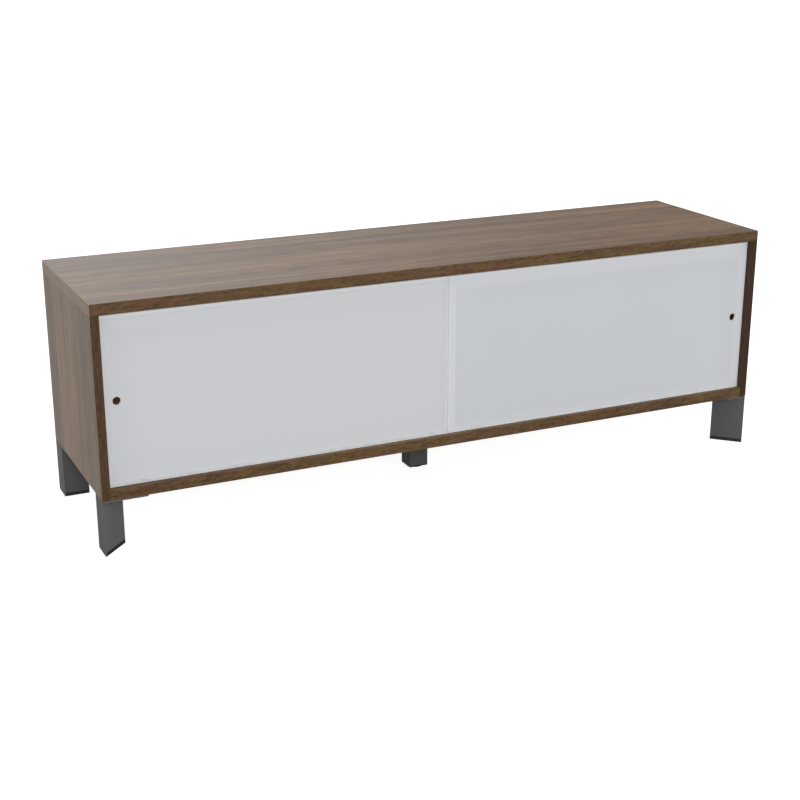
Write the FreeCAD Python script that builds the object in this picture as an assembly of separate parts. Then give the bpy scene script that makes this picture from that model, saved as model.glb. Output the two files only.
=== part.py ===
"""Low cabinet with two sliding doors: a veneered carcass on five steel legs.

Lengths are in millimetres. The origin lies on the floor under the middle of the cabinet.
+X runs to the right of someone facing the doors, +Y to the rear and +Z up.
"""
import FreeCAD, Part
import math
import os

Vector = FreeCAD.Vector

# ---------------------------------------------------------------------------------------
# Driving dimensions
# ---------------------------------------------------------------------------------------

# Overall
CABINET_WIDTH = 1676.4
CABINET_DEPTH = 438.15
CARCASS_HEIGHT = 431.8
LEG_HEIGHT = 127.0

# Boards
TOP_THICKNESS = 25.4
BOTTOM_THICKNESS = 25.4
SIDE_THICKNESS = 19.05
BACK_THICKNESS = 19.05
DIVIDER_THICKNESS = 19.05
DIVIDER_SETBACK = 2.2        # from the rear of the tracks to the divider's front edge
ARRIS = 0.5                  # chamfer on the edges of every board

# Joints between the boards
HOUSING_DEPTH = 5.0          # how far the divider's ends are let into the top and bottom
TONGUE_THICKNESS = 6.0       # tongue round the four edges of the back board
TONGUE_LENGTH = 5.0
DOWEL_DIAMETER = 8.0
DOWEL_LENGTH = 34.0
DOWEL_COUNT = 3              # at each corner of the carcass
DOWEL_INSET = 60.0           # first and last dowel from the front and rear edges
DOWEL_COVER = 6.0            # wood left between a dowel's hole and the outer face
DOWEL_END_ROOM = 1.0
DOWEL_PLAY = 0.05            # round the dowel, in its hole

# Tracks
TRACK_SETBACK = 11.6         # from the carcass's front edge to the front of the tracks
TRACK_WALL = 1.0
TRACK_BASE = 1.2
TRACK_END_ROOM = 0.5         # between each end of a track and the side board
LOWER_TRACK_HEIGHT = 6.0
LOWER_TRACK_SEAT = 3.0       # depth of the groove that holds the lower track
UPPER_TRACK_HEIGHT = 12.0
UPPER_TRACK_SEAT = 8.0       # depth of the groove that holds the upper track

# Doors
DOOR_THICKNESS = 6.0
DOOR_OVERLAP = 21.3          # where the closed doors pass each other in the middle
DOOR_PLAY = 0.3              # between each face of a door and its slot
DOOR_EDGE_ROOM = 1.0         # between a door's lower edge and the track's base
DOOR_EDGE_CHAMFER = 0.4
LIFT_SPARE = 0.2             # left over when a door is lifted clear of the lower track
FINGER_HOLE_DIAMETER = 18.0
FINGER_HOLE_INSET = 30.0     # from the door's outer edge to the hole's centre
FINGER_HOLE_DROP = 2.9        # from half the height of the opening
FINGER_HOLE_CHAMFER = 0.5

# Runners under the doors, guides in their upper edges
RUNNER_LENGTH = 30.0
RUNNER_HEIGHT = 6.0          # height inside the door
RUNNER_FLARE = 1.5           # how much wider each end is at the top of its dovetail
RUNNER_LEAD = 2.0            # slope at each end of the part under the door
RUNNER_PROUD = 0.1           # beyond each face of the door
RUNNER_PLAY = 0.2            # between a runner and the track's base
RUNNER_INSET = 70.0          # from a door's end to the middle of a runner or guide
GUIDE_LENGTH = 20.0
GUIDE_HEIGHT = 5.0

# Stop buttons let into the side boards
STOP_DIAMETER = 5.6
STOP_THICKNESS = 1.5
STOP_SEAT = 1.2              # depth of the bore that holds each button
STOP_BEVEL = 0.2
STOP_PLAY = 0.05             # round the button, in its bore
STOP_GAP = 0.2               # left between a closed door and its stops
STOP_INSET = 60.0            # from the inside floor and ceiling

# Corner legs: triangular tubes, their feet and their plates
LEG_SIDE = 59.5              # the two equal sides of the triangle
LEG_WALL = 2.5
LEG_BEND = 0.8               # outer radius of the folds
SOLE_THICKNESS = 1.2
FOOT_SKIRT = 9.0             # height of the foot below the leg's inner faces
FOOT_PLUG = 25.0             # how far the foot reaches up into the tube
FOOT_WALL = 2.0
FOOT_PLAY = 0.1
PLATE_THICKNESS = 3.0
PLATE_TAIL = 42.0            # how far a plate reaches beyond its leg
PLATE_CORNER = 3.0
CORNER_HOLE_INSET = 15.0     # hole beside the tube's sloping face, from the plate's edges
TAIL_HOLE_INSET = 16.0       # holes in the tail, from its end
TAIL_HOLE_EDGE = 12.0        # nearer hole in the tail, from the plate's inner edge
TAIL_HOLE_SPACING = 17.0

# Centre leg
CENTRE_TUBE_SIDE = 50.0
CENTRE_TUBE_WALL = 2.0
CENTRE_TUBE_CORNER = 4.0
CENTRE_PLATE_SIDE = 96.0
CENTRE_PLATE_HOLE_INSET = 10.0
CAP_BAND = 3.5               # the part of the cap that shows under the tube
CAP_PLUG = 22.0
CAP_WALL = 2.5
CAP_BOSS_DIAMETER = 16.0
CAP_RIB = 2.0
CAP_PLAY = 0.1
PAD_DIAMETER = 40.0
PAD_HEIGHT = 3.8
PAD_BEVEL = 0.8
PAD_GAP = 0.2                # between the pad and the cap
STEM_DIAMETER = 8.0
STEM_LENGTH = 20.0           # above the pad
STEM_SOCKET = 2.5            # depth of the stem's seat in the pad
STEM_PLAY = 0.05             # round the stem, in the cap's boss

# Wood screws through the plates
SCREW_DIAMETER = 4.5
SCREW_HEAD = 9.0
SCREW_LENGTH = 20.0
SCREW_POINT = 3.0
SCREW_TIP = 0.5              # radius of the blunt end of the point
SCREW_DRIVE = 2.6            # side of the square drive
SCREW_DRIVE_DEPTH = 1.8
SCREW_PLAY = 0.05
SCREW_END_ROOM = 0.5

# Screws, dowels and stop buttons are round on the cabinet. Here each has this many flats,
# which touch the true round, so that the groups of small pieces stay light.
SMALL_ROUND_SIDES = 12

# ---------------------------------------------------------------------------------------
# Places worked out from the dimensions
# ---------------------------------------------------------------------------------------

HALF_WIDTH = CABINET_WIDTH / 2
HALF_OPENING = HALF_WIDTH - SIDE_THICKNESS
FRONT = -CABINET_DEPTH / 2
REAR = CABINET_DEPTH / 2
BACK_FACE = REAR - BACK_THICKNESS
CARCASS_BOTTOM = LEG_HEIGHT
CARCASS_TOP = LEG_HEIGHT + CARCASS_HEIGHT
INSIDE_FLOOR = CARCASS_BOTTOM + BOTTOM_THICKNESS
INSIDE_CEILING = CARCASS_TOP - TOP_THICKNESS
PLATE_BOTTOM = CARCASS_BOTTOM - PLATE_THICKNESS

SLOT_WIDTH = DOOR_THICKNESS + 2 * DOOR_PLAY
TRACK_DEPTH = 2 * SLOT_WIDTH + 3 * TRACK_WALL
TRACK_FRONT = FRONT + TRACK_SETBACK
TRACK_REAR = TRACK_FRONT + TRACK_DEPTH
FRONT_SLOT = TRACK_FRONT + TRACK_WALL + SLOT_WIDTH / 2
REAR_SLOT = FRONT_SLOT + SLOT_WIDTH + TRACK_WALL
LOWER_TRACK_BOTTOM = INSIDE_FLOOR - LOWER_TRACK_SEAT
LOWER_TRACK_FLOOR = LOWER_TRACK_BOTTOM + TRACK_BASE
LOWER_TRACK_LIP = LOWER_TRACK_BOTTOM + LOWER_TRACK_HEIGHT
UPPER_TRACK_TOP = INSIDE_CEILING + UPPER_TRACK_SEAT
UPPER_TRACK_CEILING = UPPER_TRACK_TOP - TRACK_BASE
UPPER_TRACK_LIP = UPPER_TRACK_TOP - UPPER_TRACK_HEIGHT

# A door is lifted by this much before its runners clear the lower track.
LIFT_ROOM = LOWER_TRACK_LIP - LOWER_TRACK_FLOOR - RUNNER_PLAY + LIFT_SPARE
RUNNER_SOLE = LOWER_TRACK_FLOOR + RUNNER_PLAY
DOOR_BOTTOM = LOWER_TRACK_FLOOR + DOOR_EDGE_ROOM
DOOR_TOP = UPPER_TRACK_CEILING - LIFT_ROOM
STOP_FACE = HALF_OPENING - STOP_THICKNESS + STOP_SEAT
DOOR_OUTER_EDGE = STOP_FACE - STOP_GAP
DOOR_INNER_EDGE = -DOOR_OVERLAP / 2
FINGER_HOLE_HEIGHT = (INSIDE_FLOOR + INSIDE_CEILING) / 2 - FINGER_HOLE_DROP

CAP_BOTTOM = PAD_HEIGHT + PAD_GAP
CENTRE_TUBE_BOTTOM = CAP_BOTTOM + CAP_BAND

# Sides of the cabinet and of its depth, as signs along X and Y.
LEFT, RIGHT = -1, 1
CORNERS = {
    "front_left": (LEFT, -1),
    "front_right": (RIGHT, -1),
    "back_left": (LEFT, 1),
    "back_right": (RIGHT, 1),
}
# The plates of these legs run along the front and rear edges, the others along the sides.
PLATES_ALONG_X = ("front_left", "back_right")

# The leg's triangle, measured inwards from the carcass's corner: one face lies along the
# side of the cabinet, one parallel to its front, and one slopes from the corner.
LEG_OUTLINE = [(0.0, 0.0), (0.0, LEG_SIDE), (LEG_SIDE, LEG_SIDE)]


# ---------------------------------------------------------------------------------------
# Basic shapes
# ---------------------------------------------------------------------------------------

def span(first, second):
    """The two values in rising order."""
    return min(first, second), max(first, second)


def spread(first, last, count):
    """Evenly spaced values from the first to the last."""
    step = (last - first) / (count - 1)
    return [first + step * index for index in range(count)]


def box(x_span, y_span, z_span):
    """A block between the low and high values given along each axis."""
    lengths = [high - low for low, high in (x_span, y_span, z_span)]
    corner = Vector(x_span[0], y_span[0], z_span[0])
    return Part.makeBox(lengths[0], lengths[1], lengths[2], corner)


def extruded(points, travel):
    """The flat outline through the points, carried along a vector."""
    face = Part.Face(Part.makePolygon(points + points[:1]))
    return face.extrude(travel)


def prism(outline, low, high):
    """An upright prism on an outline of (x, y) points."""
    return extruded([Vector(x, y, low) for x, y in outline], Vector(0, 0, high - low))


def square(side):
    """The outline of a square about the origin."""
    half = side / 2
    return [(-half, -half), (half, -half), (half, half), (-half, half)]


def rounded_upright(shape, radius):
    """The prism with its upright edges rounded."""
    edges = [edge for edge in shape.Edges if abs(edge.tangentAt(edge.FirstParameter).z) > 0.99]
    return shape.makeFillet(radius, edges).Solids[0]


def cylinder(diameter, start, end):
    """A cylinder from one point to another."""
    axis = end - start
    return Part.makeCylinder(diameter / 2, axis.Length, start, axis)


def revolved(profile, centre):
    """A closed profile of (radius, height) points, turned about the upright axis at a point."""
    points = [Vector(radius, 0, height) for radius, height in profile]
    face = Part.Face(Part.makePolygon(points + points[:1]))
    shape = face.revolve(Vector(0, 0, 0), Vector(0, 0, 1), 360)
    return shape.translated(centre)


def turned_small(sections, base, axis):
    """A small turned piece through sections of (radius, distance from the base), along an axis."""
    turn = FreeCAD.Rotation(Vector(0, 0, 1), axis)
    rings = []
    for radius, distance in sections:
        corner_radius = radius / math.cos(math.pi / SMALL_ROUND_SIDES)
        ring = []
        for index in range(SMALL_ROUND_SIDES):
            angle = 2 * math.pi * index / SMALL_ROUND_SIDES
            across = Vector(math.cos(angle), math.sin(angle), 0) * corner_radius
            ring.append(base + turn.multVec(across + Vector(0, 0, distance)))
        rings.append(ring)
    outlines = [rings[0][::-1], rings[-1]]
    for lower, upper in zip(rings, rings[1:]):
        for index in range(SMALL_ROUND_SIDES):
            last = index - 1
            outlines.append([lower[last], lower[index], upper[index], upper[last]])
    faces = [Part.Face(Part.makePolygon(outline + outline[:1])) for outline in outlines]
    return Part.Solid(Part.Shell(faces))


def inset(outline, distance):
    """The outline of a convex shape with each of its sides moved inwards."""
    points = [Vector(x, y, 0) for x, y in outline]
    middle = sum(points, Vector(0, 0, 0)) / len(points)
    sides = []
    for start, end in zip(points, points[1:] + points[:1]):
        along = (end - start).normalize()
        inward = Vector(-along.y, along.x, 0)
        if inward.dot(middle - start) < 0:
            inward = inward.negative()
        sides.append((start + inward * distance, along))
    corners = []
    for (start, along), (other_start, other_along) in zip(sides, sides[1:] + sides[:1]):
        between = other_start - start
        turn = along.cross(other_along).z
        reach = between.cross(other_along).z / turn
        corner = start + along * reach
        corners.append((corner.x, corner.y))
    return corners


def board(x_span, y_span, z_span):
    """A flat board with its edges eased."""
    block = box(x_span, y_span, z_span)
    return block.makeChamfer(ARRIS, block.Edges).Solids[0]


def group(solids):
    """Separate solids kept together as one sub-part."""
    return Part.makeCompound(solids)


# ---------------------------------------------------------------------------------------
# Screws and dowels
# ---------------------------------------------------------------------------------------

def screw_places():
    """Where the plates' screws have their heads, as points on the plates' undersides."""
    places = []
    along = LEG_SIDE + PLATE_TAIL - TAIL_HOLE_INSET
    nearer = LEG_SIDE - TAIL_HOLE_EDGE
    for corner in CORNERS:
        local = [(LEG_SIDE - CORNER_HOLE_INSET, CORNER_HOLE_INSET)]
        for across in (nearer, nearer - TAIL_HOLE_SPACING):
            local.append((along, across) if corner in PLATES_ALONG_X else (across, along))
        places += at_corner(corner, local)
    places += square(CENTRE_PLATE_SIDE - 2 * CENTRE_PLATE_HOLE_INSET)
    return [Vector(x, y, PLATE_BOTTOM) for x, y in places]


def screw(place):
    """A countersunk wood screw with a square drive, driven upwards."""
    radius = SCREW_DIAMETER / 2
    head = SCREW_HEAD / 2
    sections = [(head, 0), (radius, head - radius), (radius, SCREW_LENGTH - SCREW_POINT),
                (SCREW_TIP, SCREW_LENGTH)]
    recess = prism(square(SCREW_DRIVE), 0, SCREW_DRIVE_DEPTH).translated(place)
    return turned_small(sections, place, Vector(0, 0, 1)).cut(recess)


def screw_holes():
    """The countersunk holes for the plates' screws, through the plates and into the boards."""
    radius = SCREW_DIAMETER / 2 + SCREW_PLAY
    head = SCREW_HEAD / 2 + SCREW_PLAY
    sections = [(head, 0), (radius, head - radius), (radius, SCREW_LENGTH + SCREW_END_ROOM)]
    return [turned_small(sections, place, Vector(0, 0, 1)) for place in screw_places()]


def dowels(play=0.0, end_room=0.0):
    """The dowels at the carcass's four long corners; with play and end room, their holes."""
    sections = [(DOWEL_DIAMETER / 2 + play, -end_room),
                (DOWEL_DIAMETER / 2 + play, DOWEL_LENGTH + end_room)]
    side_middle = HALF_WIDTH - SIDE_THICKNESS / 2
    bottom_middle = CARCASS_BOTTOM + BOTTOM_THICKNESS / 2
    blind_end = DOWEL_COVER + DOWEL_END_ROOM
    pins = []
    for y in spread(FRONT + DOWEL_INSET, REAR - DOWEL_INSET, DOWEL_COUNT):
        for side in (LEFT, RIGHT):
            # Upright, from inside the top board down into the side board's end.
            top_end = Vector(side * side_middle, y, CARCASS_TOP - blind_end)
            pins.append(turned_small(sections, top_end, Vector(0, 0, -1)))
            # Level, from inside the side board into the bottom board's end.
            side_end = Vector(side * (HALF_WIDTH - blind_end), y, bottom_middle)
            pins.append(turned_small(sections, side_end, Vector(-side, 0, 0)))
    return pins


def dowel_holes():
    """The holes for the dowels."""
    return dowels(DOWEL_PLAY, DOWEL_END_ROOM)


# ---------------------------------------------------------------------------------------
# Carcass
# ---------------------------------------------------------------------------------------

def back_tongue():
    """The plate in the middle of the back board that forms the tongue round its edges."""
    reach = HALF_OPENING + TONGUE_LENGTH
    middle = BACK_FACE + BACK_THICKNESS / 2
    half = TONGUE_THICKNESS / 2
    heights = (INSIDE_FLOOR - TONGUE_LENGTH, INSIDE_CEILING + TONGUE_LENGTH)
    return box((-reach, reach), (middle - half, middle + half), heights)


def divider_block(make=box):
    """The divider; made as a plain box, it cuts its housings in the top and bottom boards."""
    x_span = (-DIVIDER_THICKNESS / 2, DIVIDER_THICKNESS / 2)
    y_span = (TRACK_REAR + DIVIDER_SETBACK, BACK_FACE)
    z_span = (INSIDE_FLOOR - HOUSING_DEPTH, INSIDE_CEILING + HOUSING_DEPTH)
    return make(x_span, y_span, z_span)


def track_seat(low, high):
    """The groove that holds a track, from one side board to the other."""
    return box((-HALF_OPENING, HALF_OPENING), (TRACK_FRONT, TRACK_REAR), (low, high))


def top_board():
    """The top board, which lies over both side boards."""
    whole = board((-HALF_WIDTH, HALF_WIDTH), (FRONT, REAR), (INSIDE_CEILING, CARCASS_TOP))
    seat = track_seat(INSIDE_CEILING, UPPER_TRACK_TOP)
    return whole.cut([seat, divider_block(), back_tongue()] + dowel_holes())


def bottom_board():
    """The bottom board, which lies between the side boards."""
    whole = board((-HALF_OPENING, HALF_OPENING), (FRONT, REAR), (CARCASS_BOTTOM, INSIDE_FLOOR))
    seat = track_seat(LOWER_TRACK_BOTTOM, INSIDE_FLOOR)
    return whole.cut([seat, divider_block(), back_tongue()] + dowel_holes() + screw_holes())


def side_board(side):
    """A side board, which stands under the top board and reaches to the bottom."""
    x_span = span(side * HALF_WIDTH, side * HALF_OPENING)
    whole = board(x_span, (FRONT, REAR), (CARCASS_BOTTOM, INSIDE_CEILING))
    return whole.cut([back_tongue()] + dowel_holes() + screw_holes() + stop_bores(side))


def back_board():
    """The back board, flush with the rear edges and tongued on all four sides."""
    panel = board((-HALF_OPENING, HALF_OPENING), (BACK_FACE, REAR), (INSIDE_FLOOR, INSIDE_CEILING))
    return panel.fuse(back_tongue())


# ---------------------------------------------------------------------------------------
# Tracks, doors and stops
# ---------------------------------------------------------------------------------------

def track(outside, inside, lip):
    """A twin channel, pressed into its groove, between the outside of its base and its lips."""
    reach = HALF_OPENING - TRACK_END_ROOM
    x_span = (-reach, reach)
    whole = box(x_span, (TRACK_FRONT, TRACK_REAR), span(outside, lip))
    slots = []
    for middle in (FRONT_SLOT, REAR_SLOT):
        y_span = (middle - SLOT_WIDTH / 2, middle + SLOT_WIDTH / 2)
        slots.append(box(x_span, y_span, span(inside, lip)))
    return whole.cut(slots)


def lower_track():
    """The track in the bottom board, its lips just proud of the inside floor."""
    return track(LOWER_TRACK_BOTTOM, LOWER_TRACK_FLOOR, LOWER_TRACK_LIP)


def upper_track():
    """The deeper track in the top board, which leaves room to lift the doors out."""
    return track(UPPER_TRACK_TOP, UPPER_TRACK_CEILING, UPPER_TRACK_LIP)


def slot_of(side):
    """The middle of a door's slot: the right door runs in front of the left one."""
    return FRONT_SLOT if side == RIGHT else REAR_SLOT


def insert_places(side):
    """The middles of a door's runners and guides, along X."""
    outer = side * (DOOR_OUTER_EDGE - RUNNER_INSET)
    inner = side * (DOOR_INNER_EDGE + RUNNER_INSET)
    return outer, inner


def insert(outline, middle_x, middle_y, thickness):
    """A piece let into a door's edge, on an outline of (x, z) points from its middle."""
    front = middle_y - thickness / 2
    points = [Vector(middle_x + x, front, z) for x, z in outline]
    return extruded(points, Vector(0, thickness, 0))


def runner_outline():
    """A dovetail that widens upwards, with a sole that rises towards its ends."""
    half = RUNNER_LENGTH / 2
    neck = half - RUNNER_FLARE
    sole = neck - RUNNER_LEAD
    right = [(sole, RUNNER_SOLE), (neck, DOOR_BOTTOM), (half, DOOR_BOTTOM + RUNNER_HEIGHT)]
    return right + [(-x, z) for x, z in reversed(right)]


def guide_outline():
    """A dovetail that widens downwards, flush with the door's upper edge."""
    half = GUIDE_LENGTH / 2
    right = [(half, DOOR_TOP - GUIDE_HEIGHT), (half - RUNNER_FLARE, DOOR_TOP)]
    return right + [(-x, z) for x, z in reversed(right)]


def inserts(side, outline, thickness):
    """The two runners or the two guides of one door."""
    return [insert(outline, x, slot_of(side), thickness) for x in insert_places(side)]


def door(side):
    """A door panel with its finger hole and the notches for its runners and guides."""
    middle = slot_of(side)
    half = DOOR_THICKNESS / 2
    x_span = span(side * DOOR_OUTER_EDGE, side * DOOR_INNER_EDGE)
    blank = box(x_span, (middle - half, middle + half), (DOOR_BOTTOM, DOOR_TOP))
    panel = blank.makeChamfer(DOOR_EDGE_CHAMFER, blank.Edges).Solids[0]
    notch = DOOR_THICKNESS + 2 * RUNNER_PROUD
    notches = inserts(side, runner_outline(), notch) + inserts(side, guide_outline(), notch)
    return panel.cut(notches + finger_hole(side, middle - half, middle + half))


def finger_hole(side, front, rear):
    """The cutters for a door's finger hole and its two eased rims."""
    x = side * (DOOR_OUTER_EDGE - FINGER_HOLE_INSET)
    radius = FINGER_HOLE_DIAMETER / 2
    rim = radius + FINGER_HOLE_CHAMFER
    bore = cylinder(FINGER_HOLE_DIAMETER, Vector(x, front, FINGER_HOLE_HEIGHT),
                    Vector(x, rear, FINGER_HOLE_HEIGHT))
    rims = []
    for face, inwards in ((front, 1), (rear, -1)):
        start = Vector(x, face, FINGER_HOLE_HEIGHT)
        rims.append(Part.makeCone(rim, radius, FINGER_HOLE_CHAMFER, start, Vector(0, inwards, 0)))
    return [bore] + rims


def at_stops(side, sections):
    """A small turned piece at each stop of one side board: two heights in each slot."""
    turned = []
    for y in (FRONT_SLOT, REAR_SLOT):
        for z in (INSIDE_FLOOR + STOP_INSET, INSIDE_CEILING - STOP_INSET):
            base = Vector(side * (HALF_OPENING + STOP_SEAT), y, z)
            turned.append(turned_small(sections, base, Vector(-side, 0, 0)))
    return turned


def stop_buttons(side):
    """The buttons in one side board, which stand just proud of its inner face."""
    radius = STOP_DIAMETER / 2
    sections = [(radius, 0), (radius, STOP_THICKNESS - STOP_BEVEL),
                (radius - STOP_BEVEL, STOP_THICKNESS)]
    return at_stops(side, sections)


def stop_bores(side):
    """The blind bores for one side board's buttons."""
    radius = STOP_DIAMETER / 2 + STOP_PLAY
    return at_stops(side, [(radius, 0), (radius, STOP_SEAT)])


# ---------------------------------------------------------------------------------------
# Corner legs
# ---------------------------------------------------------------------------------------

def at_corner(corner, outline):
    """Points measured inwards from a corner of the carcass, as (x, y) of the cabinet."""
    x_sign, y_sign = CORNERS[corner]
    return [(x_sign * (HALF_WIDTH - across), y_sign * (REAR - along)) for across, along in outline]


def rectangle(x_span, y_span):
    """The outline of a rectangle."""
    return [(x_span[0], y_span[0]), (x_span[1], y_span[0]), (x_span[1], y_span[1]),
            (x_span[0], y_span[1])]


def leg_tube(corner):
    """A triangular tube; only its outer face reaches down to the foot's sole."""
    outside = prism(at_corner(corner, LEG_OUTLINE), SOLE_THICKNESS, PLATE_BOTTOM)
    inside = prism(at_corner(corner, inset(LEG_OUTLINE, LEG_WALL)), SOLE_THICKNESS, PLATE_BOTTOM)
    inner_faces = rectangle((LEG_WALL, LEG_SIDE), (0.0, LEG_SIDE))
    step = prism(at_corner(corner, inner_faces), SOLE_THICKNESS, FOOT_SKIRT)
    return rounded_upright(outside, LEG_BEND).cut([inside, step])


def leg_foot(corner):
    """A foot with a sole under the whole tube, a skirt under its inner faces, and a plug."""
    skirt = rounded_upright(prism(at_corner(corner, LEG_OUTLINE), 0, FOOT_SKIRT), LEG_BEND)
    outer_face = rectangle((0.0, LEG_WALL + FOOT_PLAY), (0.0, LEG_SIDE))
    rebate = prism(at_corner(corner, outer_face), SOLE_THICKNESS, FOOT_SKIRT)
    plug_outline = inset(LEG_OUTLINE, LEG_WALL + FOOT_PLAY)
    top = FOOT_SKIRT + FOOT_PLUG
    plug = prism(at_corner(corner, plug_outline), FOOT_SKIRT, top)
    hollow = prism(at_corner(corner, inset(plug_outline, FOOT_WALL)), FOOT_SKIRT, top)
    return skirt.cut(rebate).fuse(plug.cut(hollow))


def leg_plate(corner):
    """The plate that a corner leg is welded to, drilled for its screws."""
    length = LEG_SIDE + PLATE_TAIL
    x_reach, y_reach = (length, LEG_SIDE) if corner in PLATES_ALONG_X else (LEG_SIDE, length)
    outline = at_corner(corner, rectangle((0.0, x_reach), (0.0, y_reach)))
    blank = prism(outline, PLATE_BOTTOM, CARCASS_BOTTOM)
    return rounded_upright(blank, PLATE_CORNER).cut(screw_holes())


# ---------------------------------------------------------------------------------------
# Centre leg
# ---------------------------------------------------------------------------------------

def rounded_square(side, radius, low, high):
    """An upright square prism about the middle of the cabinet, its corners rounded."""
    return rounded_upright(prism(square(side), low, high), radius)


def centre_plate():
    """The plate over the centre leg."""
    blank = rounded_square(CENTRE_PLATE_SIDE, PLATE_CORNER, PLATE_BOTTOM, CARCASS_BOTTOM)
    return blank.cut(screw_holes())


def centre_tube():
    """The centre leg's square tube."""
    outside = rounded_square(CENTRE_TUBE_SIDE, CENTRE_TUBE_CORNER, CENTRE_TUBE_BOTTOM, PLATE_BOTTOM)
    bore_side = CENTRE_TUBE_SIDE - 2 * CENTRE_TUBE_WALL
    bore_corner = CENTRE_TUBE_CORNER - CENTRE_TUBE_WALL
    return outside.cut(rounded_square(bore_side, bore_corner, CENTRE_TUBE_BOTTOM, PLATE_BOTTOM))


def centre_cap():
    """The cap in the tube's lower end: a band, a hollow plug, and a ribbed boss for the stem."""
    top = CENTRE_TUBE_BOTTOM + CAP_PLUG
    band = rounded_square(CENTRE_TUBE_SIDE, CENTRE_TUBE_CORNER, CAP_BOTTOM, CENTRE_TUBE_BOTTOM)
    plug_side = CENTRE_TUBE_SIDE - 2 * CENTRE_TUBE_WALL - 2 * CAP_PLAY
    plug_corner = CENTRE_TUBE_CORNER - CENTRE_TUBE_WALL
    plug = rounded_square(plug_side, plug_corner, CENTRE_TUBE_BOTTOM, top)
    hollow_side = plug_side - 2 * CAP_WALL
    hollow = prism(square(hollow_side), CENTRE_TUBE_BOTTOM, top)
    middle = Vector(0, 0, 1)
    boss = cylinder(CAP_BOSS_DIAMETER, middle * CENTRE_TUBE_BOTTOM, middle * top)
    half = hollow_side / 2
    rib = CAP_RIB / 2
    heights = (CENTRE_TUBE_BOTTOM, top)
    ribs = [box((-half, half), (-rib, rib), heights), box((-rib, rib), (-half, half), heights)]
    bore = cylinder(STEM_DIAMETER + 2 * STEM_PLAY, middle * CAP_BOTTOM, middle * top)
    return band.fuse([plug.cut(hollow), boss] + ribs).cut(bore)


def leveller_pad():
    """The round pad under the centre leg, with a seat for the stem."""
    radius = PAD_DIAMETER / 2
    socket = STEM_DIAMETER / 2
    seat = PAD_HEIGHT - STEM_SOCKET
    profile = [(0, 0), (radius - PAD_BEVEL, 0), (radius, PAD_BEVEL), (radius, PAD_HEIGHT - PAD_BEVEL),
               (radius - PAD_BEVEL, PAD_HEIGHT), (socket, PAD_HEIGHT), (socket, seat), (0, seat)]
    return revolved(profile, Vector(0, 0, 0))


def leveller_stem():
    """The threaded stem that carries the pad and turns in the cap."""
    middle = Vector(0, 0, 1)
    low = PAD_HEIGHT - STEM_SOCKET
    return cylinder(STEM_DIAMETER, middle * low, middle * (PAD_HEIGHT + STEM_LENGTH))


# ---------------------------------------------------------------------------------------
# The whole cabinet
# ---------------------------------------------------------------------------------------

def cabinet():
    """Every sub-part of the cabinet, by name."""
    screws = [screw(place) for place in screw_places()]
    centre_screws = len(square(CENTRE_PLATE_SIDE))
    pieces = {
        "top_board": top_board(),
        "bottom_board": bottom_board(),
        "side_board_left": side_board(LEFT),
        "side_board_right": side_board(RIGHT),
        "back_board": back_board(),
        "centre_divider": divider_block(board),
        "board_dowels": group(dowels()),
        "lower_track": lower_track(),
        "upper_track": upper_track(),
        "corner_plate_screws": group(screws[:-centre_screws]),
        "centre_plate_screws": group(screws[-centre_screws:]),
        "centre_leg_plate": centre_plate(),
        "centre_leg_tube": centre_tube(),
        "centre_leg_cap": centre_cap(),
        "leveller_pad": leveller_pad(),
        "leveller_stem": leveller_stem(),
    }
    insert_thickness = DOOR_THICKNESS + 2 * RUNNER_PROUD
    for name, side in (("left", LEFT), ("right", RIGHT)):
        pieces["door_" + name] = door(side)
        pieces["door_runners_" + name] = group(inserts(side, runner_outline(), insert_thickness))
        pieces["door_guides_" + name] = group(inserts(side, guide_outline(), insert_thickness))
        pieces["stop_buttons_" + name] = group(stop_buttons(side))
    for corner in CORNERS:
        pieces["leg_tube_" + corner] = leg_tube(corner)
        pieces["leg_plate_" + corner] = leg_plate(corner)
        pieces["leg_foot_" + corner] = leg_foot(corner)
    return pieces


os.makedirs("parts", exist_ok=True)
for name, shape in cabinet().items():
    shape.exportStep("parts/" + name + ".step")
    print(name, shape.isValid(), len(shape.Solids), round(shape.Volume))
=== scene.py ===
"""Dresses the sliding door cabinet: walnut veneer, door panels, steel legs and fasteners.

Everything is in metres, in the cabinet's own frame: the origin is on the floor under its
middle, +X runs to the right of someone facing the doors, +Y to the rear and +Z up.
"""
import logging
import math
from dataclasses import dataclass, field
from enum import Enum

import bmesh
import bpy
import numpy as np
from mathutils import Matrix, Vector


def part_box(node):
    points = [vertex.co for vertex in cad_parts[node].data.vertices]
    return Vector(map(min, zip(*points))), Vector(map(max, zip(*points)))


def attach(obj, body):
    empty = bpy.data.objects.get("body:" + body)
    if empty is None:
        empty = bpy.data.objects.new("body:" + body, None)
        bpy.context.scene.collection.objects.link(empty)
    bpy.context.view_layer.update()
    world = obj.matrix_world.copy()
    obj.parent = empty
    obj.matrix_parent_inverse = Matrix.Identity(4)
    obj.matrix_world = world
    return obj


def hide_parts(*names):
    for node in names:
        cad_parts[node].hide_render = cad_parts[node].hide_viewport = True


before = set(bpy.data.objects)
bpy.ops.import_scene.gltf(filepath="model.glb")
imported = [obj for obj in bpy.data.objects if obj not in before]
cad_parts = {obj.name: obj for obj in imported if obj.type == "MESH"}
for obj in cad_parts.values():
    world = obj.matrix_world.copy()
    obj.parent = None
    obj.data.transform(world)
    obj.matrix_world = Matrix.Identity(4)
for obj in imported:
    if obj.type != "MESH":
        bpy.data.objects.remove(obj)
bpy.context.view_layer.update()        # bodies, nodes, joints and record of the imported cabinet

LOG = logging.getLogger("cabinet")
MILLIMETRE = 0.001

Colour = tuple[float, float, float]
Point = tuple[float, float, float]


# ---------------------------------------------------------------------------------------
# Shader maths
# ---------------------------------------------------------------------------------------

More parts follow.
